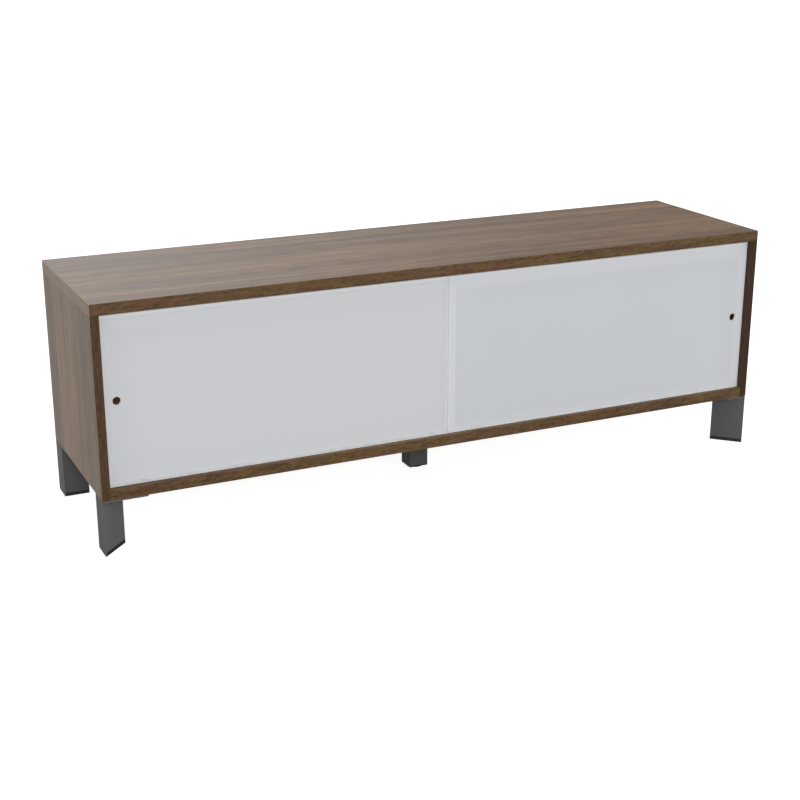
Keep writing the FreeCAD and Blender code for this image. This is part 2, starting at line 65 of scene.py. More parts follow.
class Value:
    """A number that changes over a surface, worked on with Python's operators."""

    def __init__(self, graph: "Graph", socket: bpy.types.NodeSocket) -> None:
        """Wraps an output socket of a graph's node."""
        self.graph = graph
        self.socket = socket

    def _maths(self, operation: str, first: "Number", second: "Number" = 0.0) -> "Value":
        """Adds a Math node that joins two numbers.

        Args:
            operation: The node's operation.
            first: Its first number or value.
            second: Its second number or value.

        Returns:
            The node's result.
        """
        made = self.graph.node("ShaderNodeMath", {"operation": operation}, {0: first, 1: second})
        return Value(self.graph, made.outputs[0])

    def __add__(self, other: "Number") -> "Value":
        """The sum."""
        return self._maths("ADD", self, other)

    def __radd__(self, other: "Number") -> "Value":
        """The sum, with the number first."""
        return self._maths("ADD", other, self)

    def __sub__(self, other: "Number") -> "Value":
        """The difference."""
        return self._maths("SUBTRACT", self, other)

    def __rsub__(self, other: "Number") -> "Value":
        """The difference, with the number first."""
        return self._maths("SUBTRACT", other, self)

    def __mul__(self, other: "Number") -> "Value":
        """The product."""
        return self._maths("MULTIPLY", self, other)

    def __rmul__(self, other: "Number") -> "Value":
        """The product, with the number first."""
        return self._maths("MULTIPLY", other, self)

    def __truediv__(self, other: "Number") -> "Value":
        """The quotient."""
        return self._maths("DIVIDE", self, other)

    def __abs__(self) -> "Value":
        """The size without its sign."""
        return self._maths("ABSOLUTE", self)

    def above(self, limit: "Number") -> "Value":
        """One where the value is above a limit, zero elsewhere."""
        return self._maths("GREATER_THAN", self, limit)

    def larger(self, other: "Number") -> "Value":
        """The larger of two."""
        return self._maths("MAXIMUM", self, other)

    def smaller(self, other: "Number") -> "Value":
        """The smaller of two."""
        return self._maths("MINIMUM", self, other)

    def within(self, low: float, high: float) -> "Value":
        """Zero at the low value, one at the high one, and smooth in between.

        Args:
            low: The value that becomes zero.
            high: The value that becomes one; it may be the lower number.

        Returns:
            The share of the way from low to high, kept from zero to one.
        """
        made = self.graph.node(
            "ShaderNodeMapRange", {"interpolation_type": "SMOOTHSTEP"},
            {"Value": self, "From Min": low, "From Max": high},
        )
        return Value(self.graph, made.outputs[0])


Number = Value | float


class Graph:
    """The nodes of one material or of the world."""

    def __init__(self, owner: bpy.types.Material | bpy.types.World) -> None:
        """Empties the owner's node tree for new nodes."""
        owner.use_nodes = True
        self.tree = owner.node_tree
        self.tree.nodes.clear()

    def node(self, kind: str, settings: dict | None = None, inputs: dict | None = None
             ) -> bpy.types.Node:
        """Adds one node.

        Args:
            kind: The node's type.
            settings: Its properties, set before its sockets.
            inputs: What each input socket, by name or number, gets: a value, a socket or
                a plain number, colour or vector.

        Returns:
            The node.
        """
        made = self.tree.nodes.new(kind)
        for name, setting in (settings or {}).items():
            setattr(made, name, setting)
        for name, given in (inputs or {}).items():
            given = given.socket if isinstance(given, Value) else given
            if isinstance(given, bpy.types.NodeSocket):
                self.tree.links.new(given, made.inputs[name])
            else:
                made.inputs[name].default_value = given
        return made

    def parts(self, vector: bpy.types.NodeSocket) -> tuple[Value, Value, Value]:
        """The X, Y and Z of a vector."""
        made = self.node("ShaderNodeSeparateXYZ", inputs={0: vector})
        return tuple(Value(self, output) for output in made.outputs)

    def position(self) -> tuple[Value, Value, Value]:
        """The place on the piece, in metres."""
        return self.parts(self.node("ShaderNodeTexCoord").outputs["Object"])

    def facing(self) -> tuple[Value, Value, Value]:
        """The direction that the surface faces."""
        return self.parts(self.node("ShaderNodeTexCoord").outputs["Normal"])

    def vector(self, x: Number, y: Number, z: Number) -> bpy.types.NodeSocket:
        """A vector of three numbers."""
        return self.node("ShaderNodeCombineXYZ", inputs={0: x, 1: y, 2: z}).outputs[0]

    def noise(self, place: tuple[Number, Number, Number], detail: float = 2.0,
              roughness: float = 0.5) -> Value:
        """Cloudy noise around one half.

        Args:
            place: Where to look it up, in cells of the noise.
            detail: How many finer layers are added.
            roughness: How strong those layers are.

        Returns:
            The noise.
        """
        made = self.node(
            "ShaderNodeTexNoise", {"noise_dimensions": "3D"},
            {"Vector": self.vector(*place), "Scale": 1.0, "Detail": detail,
             "Roughness": roughness},
        )
        return Value(self, made.outputs[0])

    def mix(self, share: Number, first: "Tint", second: "Tint") -> bpy.types.NodeSocket:
        """A colour between two.

        Args:
            share: Zero for the first colour, one for the second.
            first: A colour, or the socket that gives one.
            second: The other colour.

        Returns:
            The mixed colour.
        """
        made = self.node("ShaderNodeMix", {"data_type": "RGBA", "clamp_factor": True},
                         {0: share, 6: opaque(first), 7: opaque(second)})
        return made.outputs[2]

    def bump(self, height: Value, depth: float, strength: float = 1.0) -> bpy.types.NodeSocket:
        """A normal that makes a height show.

        Args:
            height: The height, from about zero to one.
            depth: What a height of one is, in metres.
            strength: How much of it shows.

        Returns:
            The normal.
        """
        made = self.node("ShaderNodeBump", None,
                         {"Height": height, "Distance": depth, "Strength": strength})
        return made.outputs[0]

    def surface(self, **sockets: "Number | Tint") -> None:
        """Ends a material in one Principled shader.

        Args:
            **sockets: What its sockets get; an underscore stands for a space.
        """
        inputs = {name.replace("_", " "): given for name, given in sockets.items()}
        inputs["Base Color"] = opaque(inputs["Base Color"])
        made = self.node("ShaderNodeBsdfPrincipled", None, inputs)
        self.node("ShaderNodeOutputMaterial", None, {"Surface": made.outputs[0]})


Tint = Colour | bpy.types.NodeSocket


BLACK: Colour = (0.0, 0.0, 0.0)


def opaque(colour: Tint) -> tuple[float, ...] | bpy.types.NodeSocket:
    """The colour with full alpha, or the socket as it is."""
    return (*colour, 1.0) if isinstance(colour, tuple) else colour


# ---------------------------------------------------------------------------------------
# Finishes
# ---------------------------------------------------------------------------------------

class Grain(Enum):
    """Which way a veneer's grain runs: the axes along it, across it and through the board."""

    ALONG_X = (0, 1, 2)
    UPRIGHT = (2, 1, 0)
    UPRIGHT_ACROSS_X = (2, 0, 1)
    LONG_BACK = (0, 2, 1)


@dataclass(frozen=True)
class Streak:
    """A dark line of heartwood along the grain.

    Attributes:
        place: Where its middle is, on the axis across the grain.
        width: Its width.
        depth: How dark it is, from zero to one.
    """

    place: float
    width: float
    depth: float


@dataclass(frozen=True)
class Veneer:
    """How the veneer of one board is cut and laid.

    Attributes:
        grain: Which way its grain runs.
        seed: Moves the figure, so that no two boards are alike.
        streaks: Dark lines at set places.
        front_band: How dark the band on its front edge is, from zero to one.
        free_ends: Whether its ends are seen, or butt against other boards.
        edged: Whether what faces the front is an edge with a band of its own.
        reveal: How dark the painted shade is on the strip just behind the front edge, on the side
            towards -X.
    """

    grain: Grain
    seed: float
    streaks: tuple[Streak, ...] = ()
    front_band: float = 0.0
    free_ends: bool = False
    edged: bool = True
    reveal: float = 0.0


@dataclass(frozen=True)
class Walnut:
    """Satin lacquered walnut veneer with streaks, fine lines and open pores, worn edges with a
    painted highlight, and painted shade in one reveal.
    """

    dark: Colour = (0.040, 0.020, 0.008)
    light: Colour = (0.157, 0.092, 0.041)
    red: Colour = (0.146, 0.058, 0.030)
    olive: Colour = (0.095, 0.074, 0.019)
    ochre: Colour = (0.118, 0.080, 0.014)
    # The dark of heartwood, also used for the painted shade in the reveal.
    heart_and_painted_shade: Colour = (0.026, 0.010, 0.003)
    # Paler colour for the ends' bands and for the edges, where it is wear and a painted highlight.
    pale_band_and_painted_highlight: Colour = (0.172, 0.110, 0.064)
    roughness: float = 0.45
    gloss: float = 0.30
    pore_depth: float = 0.00012
    # Where the painted shade in the reveal ends, on Y.
    painted_reveal_shade_from: float = -190.0 * MILLIMETRE

    def material(self, name: str, veneer: Veneer) -> bpy.types.Material:
        """Makes the veneer of one board.

        Args:
            name: The board's node.
            veneer: How it is cut and laid.

        Returns:
            The material.
        """
        made = bpy.data.materials.new("walnut_" + name)
        graph = Graph(made)
        axes = graph.position()
        faces = graph.facing()
        along, across, through = (axes[index] for index in veneer.grain.value)
        end = abs(faces[0]).above(0.7)
        if veneer.grain is Grain.ALONG_X:
            # The ends of a long board carry a band whose grain follows the cabinet's depth.
            along, across = along * (1 - end) + across * end, across * (1 - end) + along * end
        along = along + veneer.seed

        drift = graph.noise((along * 0.9, across * 3.0, through * 3.0)) - 0.5
        wavy = across + drift * 0.035
        deep = through + drift * 0.010
        broad = graph.noise((along * 0.7, wavy * 11, deep * 11), 1.0) - 0.5
        streaky = graph.noise((along * 1.9, wavy * 46, deep * 60), 4.0, 0.6) - 0.5
        fleck = graph.noise((along * 13, wavy * 120, deep * 150), 2.0, 0.6) - 0.5
        fine = graph.noise((along * 17, wavy * 480, deep * 480), 3.0, 0.6) - 0.5
        slanted = deep - along * 0.18
        curl = graph.noise((along * 70, wavy * 180, slanted * 330), 4.0, 0.75) - 0.5
        front = (0 - faces[1]).above(0.7) * float(veneer.edged)
        tone = (broad * 2.0 + streaky * 1.6) * (1 - front * 0.78) + fleck * (1.5 - front * 0.6)
        tone = tone + curl * front * 2.7 + fine * 0.9 + 0.5
        for streak in veneer.streaks:
            distance = abs(wavy - streak.place)
            band = distance.within(streak.width, streak.width * 0.2) * (1 - front)
            tone = tone - band * streak.depth * (1.0 + broad)

        long_hue = graph.noise((along * 4 + 3, wavy * 50 + 7, deep * 60), 2.0, 0.6)
        short_hue = graph.noise((along * 21 + 5, wavy * 62 + 2, deep * 75), 2.0, 0.6)
        small_hue = graph.noise((along * 48 + 9, wavy * 120 + 4, deep * 140), 2.0, 0.6)
        hue = (long_hue * 0.55 + short_hue * 0.45) * (1 - front * 0.4) + small_hue * front * 0.4
        hue = (hue - 0.5) * (1 + front * 0.45) + 0.5
        wood = graph.mix(tone, self.dark, self.light)
        redder = graph.mix(tone, self.dark, self.red)
        yellower = graph.mix(front, self.olive, self.ochre)
        greener = graph.mix(tone, self.dark, yellower)
        wood = graph.mix(hue.within(0.51, 0.61) * (0.70 + front * 0.06), wood, redder)
        wood = graph.mix(hue.within(0.49, 0.39) * (0.52 + front * 0.28), wood, greener)
        pores = graph.noise((along * 85, across * 2300, through * 2300), 1.0).within(0.60, 0.72)
        wood = graph.mix(pores * 0.45, wood, self.dark)
        if veneer.front_band:
            wood = graph.mix(front * veneer.front_band, wood, self.heart_and_painted_shade)
        # Painted shade: a darker strip on the inner face just behind the front edge, where the
        # doors' recess lies in shade.
        if veneer.reveal:
            reveal_shade_strip = (0 - faces[0]).above(0.7) * (0 - axes[1]).above(-self.painted_reveal_shade_from)
            wood = graph.mix(reveal_shade_strip * veneer.reveal, wood, self.heart_and_painted_shade)
        if veneer.grain is Grain.ALONG_X:
            wood = graph.mix(end * 0.35, wood, self.pale_band_and_painted_highlight)
        # Along the edges the colour is paler: wear, and a painted highlight.
        edge = arris_of(graph, name, veneer)
        wood = graph.mix(edge * 0.25, wood, self.pale_band_and_painted_highlight)
        roughness = self.roughness + fine * 0.12 + pores * 0.15 - edge * 0.06
        relief = fine * 0.35 - pores
        graph.surface(Base_Color=wood, Roughness=roughness, Specular_IOR_Level=self.gloss,
                      Normal=graph.bump(relief, self.pore_depth, 0.35))
        return made


@dataclass(frozen=True)
class DoorPanel:
    """Pale opal sheet, satin, hardly see-through, which still lets light spread inside, with
    painted light near its edges, on its ends and at the overlap.
    """

    tone: Colour = (0.562, 0.574, 0.594)
    shade: Colour = (0.551, 0.564, 0.586)
    # Painted light: the paler colour near the foot, head, outer end and overlap, where shade falls
    # on the sheet.
    rim: Colour = (0.674, 0.688, 0.710)
    # Painted highlight: the colour of the ends and of the places right beside them.
    painted_end_tone: Colour = (0.86, 0.88, 0.90)
    # How far that painted light reaches, and how strong it is at the outer end and at the overlap.
    rim_width: float = 34.0 * MILLIMETRE
    lip_width: float = 9.0 * MILLIMETRE
    head_width: float = 56.0 * MILLIMETRE
    head_from: float = 6.0 * MILLIMETRE
    end_painted_light: float = 0.45
    lap_width: float = 26.0 * MILLIMETRE
    lap_fade: float = 4.0 * MILLIMETRE
    lap_painted_light: float = 0.80
    roughness: float = 0.30
    cover: float = 0.95
    spread: float = 0.72
    # Painted light: the colour and strength of a faint glow on the end faces, and on the head where
    # head_painted_glow is set.
    painted_glow_colour: Colour = (0.97, 0.99, 1.0)
    painted_glow_strength: float = 0.145
    head_painted_glow: float = 0.0

    def material(self, node: str) -> bpy.types.Material:
        """Makes the material of one sheet.

        Light that falls on the sheet is let through more freely than the eye sees through
        it, as opal plastic scatters what it passes on. Painted light makes the colour paler
        near the foot, the head and the outer end and beside the other sheet's end, where shade
        and shadows fall, and paler still on the ends and close to them.

        Args:
            node: The sheet's node.

        Returns:
            The material, whose surface has a slight flow from the sheet's casting.
        """
        made = bpy.data.materials.new("panel_of_" + node)
        graph = Graph(made)
        x, y, z = graph.position()
        low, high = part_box(node)
        outward = 1.0 if high.x > -low.x else -1.0
        outer_x = max(high.x, -low.x) - x * outward
        inner_x = (high.x - low.x) - outer_x
        foot = z - low.z
        head = high.z - z
        # Painted light near the foot, head and outer end and beside the other sheet's end, against
        # the shade and shadows there.
        rim = foot.within(self.rim_width, 0.0) * 0.35 + foot.within(self.lip_width, 0.0) * 0.65
        rim = rim.larger(head.within(self.head_width, self.head_from) * 0.6)
        rim = rim.larger(outer_x.within(self.rim_width, 0.0) * self.end_painted_light)
        lap = inner_x.within(self.lap_width + self.lap_fade, self.lap_width - self.lap_fade)
        rim = rim.larger(lap * self.lap_painted_light)
        flow = graph.noise((x * 3, y, z * 1.2), 1.0)
        haze = graph.noise((x * 160, y * 160, z * 160), 2.0)
        path = graph.node("ShaderNodeLightPath").outputs
        scattered = Value(graph, path["Is Shadow Ray"]).larger(Value(graph, path["Is Diffuse Ray"]))
        sheet = graph.mix(flow.within(0.35, 0.65), self.tone, self.shade)
        sheet = graph.mix(rim, sheet, self.rim)
        # Painted highlight: paler still within millimetres of the outer end and below the head.
        painted_glint = outer_x.within(self.lip_width, 0.0) * self.end_painted_light
        painted_glint = painted_glint.larger(head.within(self.head_width * 0.3, self.head_from * 0.7) * 0.7)
        sheet = graph.mix(painted_glint, sheet, self.painted_end_tone)
        # Painted highlight: the end faces take the palest colour.
        ends = abs(graph.facing()[0]).above(0.7)
        # Painted light: the end faces, and the head where head_painted_glow is set, glow faintly
        # though the sheet is no lamp.
        light = head.within(self.head_width * 0.32, self.head_from * 1.4) * self.head_painted_glow
        light = ends.larger(light)
        graph.surface(
            Base_Color=graph.mix(ends, sheet, self.painted_end_tone),
            Roughness=self.roughness + haze * 0.08,
            Alpha=self.cover - scattered * self.spread,
            Emission_Color=graph.mix(light, BLACK, self.painted_glow_colour),
            Emission_Strength=self.painted_glow_strength,
            Normal=graph.bump(haze, 0.00004, 0.2),
        )
        return made


@dataclass(frozen=True)
class PowderCoat:
    """Dark grey powder coat with a fine orange-peel skin."""

    name: str = "leg_steel"
    tone: Colour = (0.118, 0.117, 0.118)
    mottle: Colour = (0.105, 0.105, 0.107)
    roughness: float = 0.65
    gloss: float = 0.04

    def material(self) -> bpy.types.Material:
        """Makes the material.

        Returns:
            The material.
        """
        made = bpy.data.materials.new(self.name)
        graph = Graph(made)
        x, y, z = graph.position()
        cloud = graph.noise((x * 14, y * 14, z * 5), 3.0)
        peel = graph.noise((x * 900, y * 900, z * 900), 2.0)
        graph.surface(
            Base_Color=graph.mix(cloud.within(0.3, 0.7), self.tone, self.mottle),
            Roughness=self.roughness + (cloud - 0.5) * 0.16 + (peel - 0.5) * 0.08,
            Specular_IOR_Level=self.gloss,
            Normal=graph.bump(peel, 0.00006, 0.35),
        )
        return made


@dataclass(frozen=True)
class Plastic:
    """Moulded plastic with a fine, even texture.

    Attributes:
        name: The material's name.
        tone: Its colour.
        roughness: How matt it is.
        texture: How deep its texture is, in metres.
        cover: How opaque it is, from zero to one.
    """

    name: str
    tone: Colour
    roughness: float
    texture: float = 0.00003
    cover: float = 1.0

    def material(self) -> bpy.types.Material:
        """Makes the material.

        Returns:
            The material.
        """
        made = bpy.data.materials.new(self.name)
        graph = Graph(made)
        x, y, z = graph.position()
        spark = graph.noise((x * 1500, y * 1500, z * 1500), 2.0)
        cloud = graph.noise((x * 40, y * 40, z * 40), 2.0)
        darker = tuple(channel * 0.88 for channel in self.tone)
        graph.surface(
            Base_Color=graph.mix(cloud.within(0.35, 0.7), self.tone, darker),
            Roughness=self.roughness + (spark - 0.5) * 0.1,
            Alpha=self.cover,
            Normal=graph.bump(spark, self.texture, 0.4),
        )
        return made


@dataclass(frozen=True)
class ZincSteel:
    """Dark zinc on small steel parts, metallic and slightly mottled."""

    tone: Colour = (0.30, 0.30, 0.31)
    roughness: float = 0.34

    def material(self) -> bpy.types.Material:
        """Makes the material.

        Returns:
            The material.
        """
        made = bpy.data.materials.new("dark_zinc")
        graph = Graph(made)
        x, y, z = graph.position()
        cloud = graph.noise((x * 220, y * 220, z * 220), 2.0)
        darker = tuple(channel * 0.6 for channel in self.tone)
        graph.surface(
            Base_Color=graph.mix(cloud.within(0.35, 0.65), self.tone, darker),
            Metallic=1.0,
            Roughness=self.roughness + (cloud - 0.5) * 0.2,
            Normal=graph.bump(cloud, 0.00002, 0.5),
        )
        return made


@dataclass(frozen=True)
class Beech:
    """Plain beech with short dark flecks, for dowels."""

    tone: Colour = (0.56, 0.40, 0.24)
    fleck: Colour = (0.36, 0.22, 0.12)

    def material(self) -> bpy.types.Material:
        """Makes the material.

        Returns:
            The material.
        """
        made = bpy.data.materials.new("beech")
        graph = Graph(made)
        x, y, z = graph.position()
        fleck = graph.noise((x * 500, y * 900, z * 500), 2.0).within(0.55, 0.7)
        graph.surface(Base_Color=graph.mix(fleck, self.tone, self.fleck), Roughness=0.6,
                      Normal=graph.bump(fleck, 0.00005, 0.4))
        return made


def arris_of(graph: Graph, node: str, veneer: Veneer, width: float = 0.0010) -> Value:
    """Where a board's edges are: one on them and zero on its faces.

    The distance below each pair of faces is worked out. Both of the distances across the
    grain are small along a long edge. On a board whose ends are free, the second smallest
    of all three is small along every edge.

    Args:
        graph: The material's nodes.
        node: The board's node.
        veneer: How its veneer is laid, and whether its ends are free.
        width: How far from an edge the value falls to zero.

    Returns:
        The share of edge.
    """
    low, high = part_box(node)
    depths = []
    for place, start, end in zip(graph.position(), low, high):
        depths.append((end - start) / 2 - abs(place - (start + end) / 2))
    lengthwise, across, through = (depths[index] for index in veneer.grain.value)
    nearest = across.larger(through)
    if veneer.free_ends:
        nearest = nearest.smaller(across.smaller(through).larger(lengthwise))
    return nearest.within(width, 0.0)


# ---------------------------------------------------------------------------------------
# Surfaces
# ---------------------------------------------------------------------------------------

@dataclass(frozen=True)
class Ring:
    """One row of a turned surface.

    Attributes:
        radius: Its radius, or half the side of a square one.
        height: Its height.
        square: Zero for a round row, one for a square one.
    """

    radius: float
    height: float
    square: float = 0.0


def rows_of(rings: list[Ring], turns: int) -> np.ndarray:
    """Points of a turned surface, row by row.

    A point's distance from the axis is its row's radius, divided for a square row by the
    larger of the sine's and the cosine's size, which draws a square of that half side.

    Args:
        rings: The rows from one end to the other.
        turns: How many points a row has.

    Returns:
        An array of rows by points by three.
    """
    angle = np.linspace(0, 2 * np.pi, turns, endpoint=False)
    radius = np.array([ring.radius for ring in rings])[:, None]
    height = np.array([ring.height for ring in rings])[:, None]
    square = np.array([ring.square for ring in rings])[:, None]
    corner = 1 / np.maximum(np.abs(np.cos(angle)), np.abs(np.sin(angle)))[None, :]
    reach = radius * (1 - square + square * corner)
    return np.stack([reach * np.cos(angle), reach * np.sin(angle),
                     np.broadcast_to(height, reach.shape)], axis=-1)


def thread_rows(core: float, depth: float, pitch: float, low: float, high: float,
                turns: int, steps: int) -> np.ndarray:
    """Points of a screw thread, row by row.

    The radius is the core's, plus the depth times a ridge that is one on the helix and
    falls evenly to zero half a pitch away. The depth fades in and out at both ends.

    Args:
        core: The core's radius.
        depth: The ridge's height above the core.
        pitch: The climb of one turn.
        low: The height of the first row.
        high: The height of the last row.
        turns: How many points a row has.
        steps: How many rows one pitch has.

    Returns:
        An array of rows by points by three.
    """
    count = max(2, int(round((high - low) / pitch * steps)) + 1)
    height = np.linspace(low, high, count)[:, None]
    angle = np.linspace(0, 2 * np.pi, turns, endpoint=False)[None, :]
    phase = (height / pitch - angle / (2 * np.pi)) % 1.0
    ridge = 1 - np.abs(2 * phase - 1)
    fade = np.clip(np.minimum(height - low, high - height) / pitch, 0, 1)
    reach = core + depth * ridge * fade
    return np.stack([reach * np.cos(angle), reach * np.sin(angle),
                     np.broadcast_to(height, reach.shape)], axis=-1)


def tube_faces(rows: int, turns: int) -> np.ndarray:
    """Faces between neighbouring rows of points, closed round the axis.

    Args:
        rows: How many rows there are.
        turns: How many points a row has.

    Returns:
        The corners of each face.
    """
    row, turn = np.meshgrid(np.arange(rows - 1), np.arange(turns), indexing="ij")
    following = (turn + 1) % turns
    corners = (row * turns + turn, row * turns + following,
               (row + 1) * turns + following, (row + 1) * turns + turn)
    return np.stack([corner.ravel() for corner in corners], axis=-1)


@dataclass
class Shape:
    """A mesh in the making.

    Attributes:
        points: Its points.
        faces: The corners of its faces.
    """

    points: np.ndarray
    faces: np.ndarray

    @staticmethod
    def turned(rows: np.ndarray) -> "Shape":
        """The closed surface through rows of points, whose first and last rows are poles."""
        count, turns = rows.shape[:2]
        return Shape(rows.reshape(-1, 3), tube_faces(count, turns))

    def placed(self, place: Point, axis: Point = (0, 0, 1)) -> "Shape":
        """The shape with its base at a place and its own +Z along an axis."""
        turn = np.array(Vector((0, 0, 1)).rotation_difference(Vector(axis)).to_matrix())
        return Shape(self.points @ turn.T + np.array(place), self.faces)


def piece(name: str, shapes: list[Shape], material: bpy.types.Material, body: str,
          replaced: tuple[str, ...] = ()) -> bpy.types.Object:
    """Makes one object from shapes and seats it on its body.

    Args:
        name: The object's name.
        shapes: What it is made of.
        material: Its finish.
        body: The body that it moves with.
        replaced: The nodes that it stands for.

    Returns:
        The object.
    """
    starts = np.cumsum([0] + [len(shape.points) for shape in shapes[:-1]])
    points = np.concatenate([shape.points for shape in shapes])
    faces = np.concatenate([shape.faces + start for shape, start in zip(shapes, starts)])
    mesh = bpy.data.meshes.new(name)
    mesh.from_pydata(points.tolist(), [], faces.tolist())
    tidy = bmesh.new()
    tidy.from_mesh(mesh)
    bmesh.ops.remove_doubles(tidy, verts=tidy.verts, dist=1e-7)
    bmesh.ops.recalc_face_normals(tidy, faces=tidy.faces)
    tidy.to_mesh(mesh)
    tidy.free()
    mesh.materials.append(material)
    mesh.shade_smooth()
    mesh.set_sharp_from_angle(angle=math.radians(35))
    made = bpy.data.objects.new(name, mesh)
    bpy.context.scene.collection.objects.link(made)
    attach(made, body)
    if replaced:
        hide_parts(*replaced)
    LOG.info("%s: %d faces on %s", name, len(mesh.polygons), body)
    return made


def dress(node: str, material: bpy.types.Material) -> None:
    """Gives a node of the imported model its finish.

    Args:
        node: The node.
        material: Its finish.
    """
    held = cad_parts[node]
    held.data.materials.clear()
    held.data.materials.append(material)
    LOG.info("%s: dressed in %s", node, material.name)


def middles(node: str, gap: float = 0.004) -> np.ndarray:
    """The boxes of the separate solids in a node.

    Points joined by edges belong to one solid.

    Args:
        node: The node.
        gap: Not used.

    Returns:
        An array of solids by two corners by three.
    """
    mesh = bmesh.new()
    mesh.from_mesh(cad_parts[node].data)
    bmesh.ops.remove_doubles(mesh, verts=mesh.verts, dist=1e-6)
    mesh.verts.ensure_lookup_table()
    seen: set[int] = set()
    boxes = []
    for start in mesh.verts:
        if start.index in seen:
            continue
        island, waiting = [], [start]
        seen.add(start.index)
        while waiting:
            current = waiting.pop()
            island.append(tuple(current.co))
            for edge in current.link_edges:
                other = edge.other_vert(current)
                if other.index not in seen:
                    seen.add(other.index)
                    waiting.append(other)
        found = np.array(island)
        boxes.append((found.min(axis=0), found.max(axis=0)))
    mesh.free()
    return np.array(boxes)


# ---------------------------------------------------------------------------------------
# Sub-assemblies
# ---------------------------------------------------------------------------------------

@dataclass
class Carcass:
    """The boards, with the dowels that join them."""

    walnut: Walnut = field(default_factory=Walnut)
    beech: Beech = field(default_factory=Beech)
    body: str = "cabinet"
    top_streaks: tuple[Streak, ...] = (
        Streak(0.124, 0.020, 0.38), Streak(-0.069, 0.007, 0.50), Streak(-0.171, 0.008, 0.35),
        Streak(0.020, 0.006, 0.25), Streak(-0.225, 0.070, 0.34), Streak(0.215, 0.085, 0.34),
    )

    def dress(self) -> None:
        """Gives every board its own veneer."""
        veneers = {
            "top_board": Veneer(Grain.ALONG_X, 1.3, self.top_streaks, free_ends=True),
            "bottom_board": Veneer(Grain.ALONG_X, 4.1),
            "side_board_left": Veneer(Grain.UPRIGHT, 7.7, front_band=0.45),
            # The right side board carries painted shade in its reveal in front of the doors.
            "side_board_right": Veneer(Grain.UPRIGHT, 9.2, front_band=0.90, reveal=0.80),
            "centre_divider": Veneer(Grain.UPRIGHT, 12.6),
            "back_board": Veneer(Grain.LONG_BACK, 15.4, edged=False),
        }
        for node, veneer in veneers.items():
            dress(node, self.walnut.material(node, veneer))
        dress("board_dowels", self.beech.material())


@dataclass
class Doors:
    """The two door panels with their runners and guides, and the tracks and stops."""

    # The left panel's head glows faintly: painted light against the top board's shadow.
    left_panel: DoorPanel = DoorPanel(head_painted_glow=1.0)
    # The right panel's colours are a little darker, painted shade for the less light on the right,
    # and its outer end takes stronger painted light against the side board's shadow.
    right_panel: DoorPanel = DoorPanel(
        (0.542, 0.559, 0.580), (0.532, 0.550, 0.572), end_painted_light=0.95,
        lap_width=16.0 * MILLIMETRE, lap_fade=2.4 * MILLIMETRE, lap_painted_light=0.36,
    )
    track: Plastic = Plastic("track_plastic", (0.66, 0.67, 0.685), 0.38)
    runner: Plastic = Plastic("runner_plastic", (0.59, 0.60, 0.61), 0.30)
    stop: Plastic = Plastic("stop_rubber", (0.62, 0.62, 0.60), 0.18, cover=0.6)
    stop_turns: int = 32
    stop_rows: int = 8

    def dress(self) -> None:
        """Gives the doors, tracks and runners their finishes, and makes the stops."""
        track = self.track.material()
        runner = self.runner.material()
        for side, panel in (("left", self.left_panel), ("right", self.right_panel)):
            dress("door_" + side, panel.material("door_" + side))
            dress("door_runners_" + side, runner)
            dress("door_guides_" + side, runner)
        for node in ("lower_track", "upper_track"):
            dress(node, track)
        stop = self.stop.material()
        for side, away in (("left", 1.0), ("right", -1.0)):
            node = "stop_buttons_" + side
            domes = [self.stop_dome(low, high, away) for low, high in middles(node)]
            piece("stop_domes_" + side, domes, stop, "cabinet", (node,))

    def stop_dome(self, low: np.ndarray, high: np.ndarray, away: float) -> Shape:
        """A stop button: a short cylinder under a dome.

        Along the dome the radius follows the cosine, and the height the sine, of an angle
        that rises from zero at the rim to a right angle at the crown.

        Args:
            low: The lowest corner of the solid that it stands for.
            high: The highest corner.
            away: The sign of X in which it stands out.

        Returns:
            The dome.
        """
        radius = (high[2] - low[2]) / 2
        thickness = high[0] - low[0]
        rim = thickness * 0.8
        rings = [Ring(0.0, 0.0), Ring(radius, 0.0)]
        for angle in np.linspace(0, math.pi / 2, self.stop_rows):
            rings.append(Ring(radius * math.cos(angle), rim + (thickness - rim) * math.sin(angle)))
        base = low[0] if away > 0 else high[0]
        place = (base, (low[1] + high[1]) / 2, (low[2] + high[2]) / 2)
        return Shape.turned(rows_of(rings, self.stop_turns)).placed(place, (away, 0, 0))


@dataclass
class WoodScrew:
    """A countersunk wood screw with a square drive and a real thread.

    Attributes:
        head: The head's radius.
        shank: The radius over the thread.
        length: The whole length.
    """

    head: float = 4.5 * MILLIMETRE
    shank: float = 2.25 * MILLIMETRE
    length: float = 20.0 * MILLIMETRE
    core: float = 1.55 * MILLIMETRE
    pitch: float = 1.8 * MILLIMETRE
    drive: float = 1.3 * MILLIMETRE
    drive_depth: float = 1.8 * MILLIMETRE
    turns: int = 32
    steps: int = 8

    def shape(self) -> Shape:
        """The screw with its head's face at the origin and its point along +Z.

        Returns:
            The shape, from the drive's floor over the head and down the thread.
        """
        neck = self.head - self.shank
        rim = 0.25 * MILLIMETRE
        head = [
            Ring(0.0, self.drive_depth),
            Ring(self.drive * 0.85, self.drive_depth, 1.0),
            Ring(self.drive, 0.1 * MILLIMETRE, 1.0),
            Ring(self.drive * 1.08, 0.0, 1.0),
            Ring(self.head - rim, 0.0),
            Ring(self.head, rim * 0.5),
            Ring(self.shank * 1.05, neck),
            Ring(self.core * 1.15, neck + 1.2 * MILLIMETRE),
        ]
        point = self.length - 3.0 * MILLIMETRE
        start = neck + 1.3 * MILLIMETRE
        thread = thread_rows(self.core, self.shank - self.core, self.pitch, start, point,
                             self.turns, self.steps)
        tip = [Ring(self.core * 0.6, point + 1.6 * MILLIMETRE), Ring(0.0, self.length)]
        rows = [rows_of(head, self.turns), thread, rows_of(tip, self.turns)]
        return Shape.turned(np.concatenate(rows))


